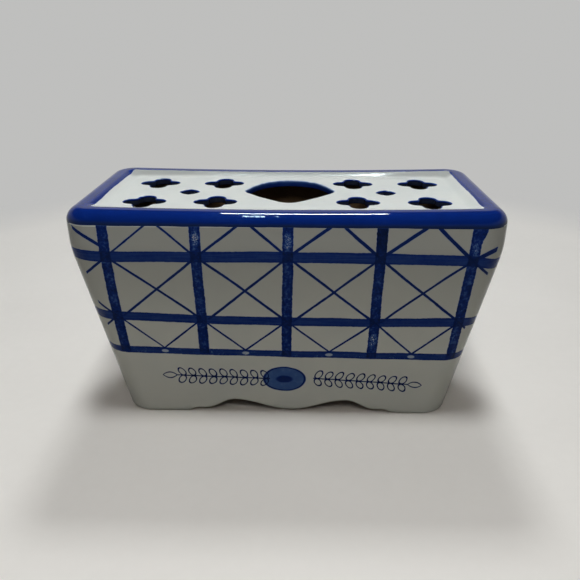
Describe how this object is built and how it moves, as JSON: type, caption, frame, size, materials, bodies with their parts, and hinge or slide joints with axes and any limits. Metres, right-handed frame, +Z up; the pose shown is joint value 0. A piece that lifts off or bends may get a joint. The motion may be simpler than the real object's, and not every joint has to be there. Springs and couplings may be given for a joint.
{
  "type": "flower brick",
  "caption": "Low oblong flower brick: a tapered glazed earthenware vase whose blue-rimmed pierced top holds cut stems over a water chamber, on a scalloped foot.",
  "frame": {"origin": "on the table, under the middle of the foot", "axes": "+X along the length, +Y from the front to the back, +Z up"},
  "size_m": [0.152, 0.072, 0.0852],
  "materials": {
    "rimmed_glaze": "gloss white glaze with a cobalt blue rim and blue hole edges",
    "painted_glaze": "gloss white glaze painted in cobalt blue",
    "plain_glaze": "thin white glaze"
  },
  "bodies": {
    "root": {"pierced_top": "rimmed_glaze", "front_wall": "painted_glaze", "back_wall": "painted_glaze", "left_end_wall": "painted_glaze", "right_end_wall": "painted_glaze", "floor": "plain_glaze"}
  },
  "joints": []
}
